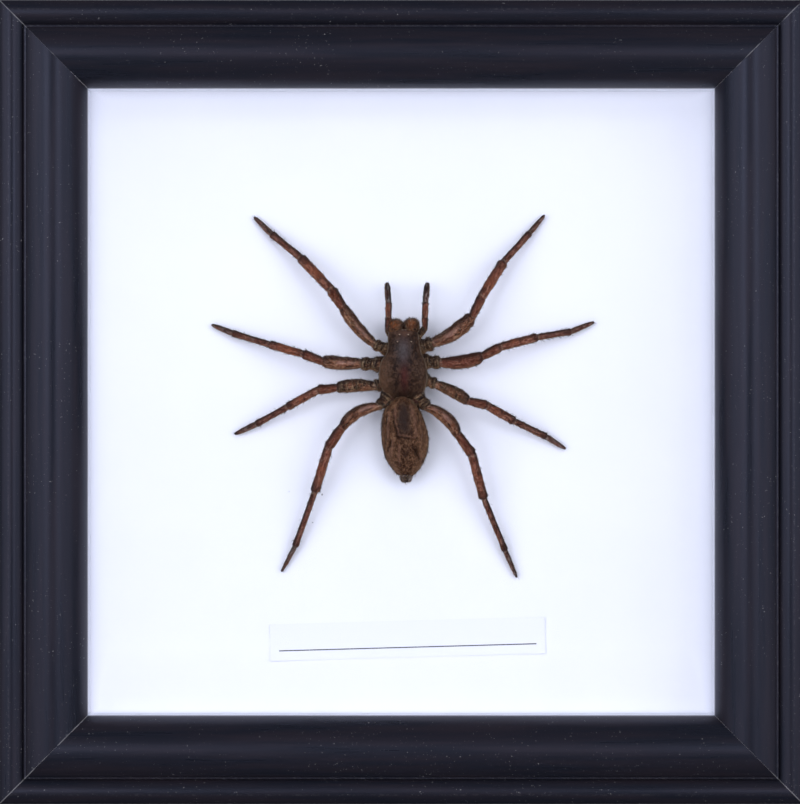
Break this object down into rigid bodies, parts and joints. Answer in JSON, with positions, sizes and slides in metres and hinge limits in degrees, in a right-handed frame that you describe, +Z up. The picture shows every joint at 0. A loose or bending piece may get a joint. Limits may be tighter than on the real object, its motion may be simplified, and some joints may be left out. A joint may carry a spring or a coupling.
{
  "type": "framed wolf spider specimen",
  "caption": "Dried wolf spider spread on a white board behind glass, in a deep square black picture frame.",
  "frame": {"origin": "middle of the frame's bottom face, on the surface it stands on", "axes": "+X to the viewer's right, -Y out of the glass towards the viewer, +Z up"},
  "size_m": [0.15, 0.026, 0.15],
  "materials": {
    "frame_black": "satin",
    "clear_glass": "polished",
    "white_board": "matte",
    "label_paper": "matte",
    "spider_brown": "satin",
    "hardboard_brown": "matte",
    "zinc_steel": "satin"
  },
  "bodies": {
    "root": {"frame_top": "frame_black", "frame_bottom": "frame_black", "frame_left": "frame_black", "frame_right": "frame_black", "glass_pane": "clear_glass", "spacer_top": "white_board", "spacer_bottom": "white_board", "spacer_left": "white_board", "spacer_right": "white_board", "mount_board": "white_board", "label_slip": "label_paper", "spider": "spider_brown", "back_panel": "hardboard_brown", "point_top_first": "zinc_steel", "point_top_second": "zinc_steel", "point_bottom_first": "zinc_steel", "point_bottom_second": "zinc_steel", "point_left_first": "zinc_steel", "point_left_second": "zinc_steel", "point_right_first": "zinc_steel", "point_right_second": "zinc_steel", "hanger": "zinc_steel", "hanger_rivet_left": "zinc_steel", "hanger_rivet_right": "zinc_steel"}
  },
  "joints": []
}
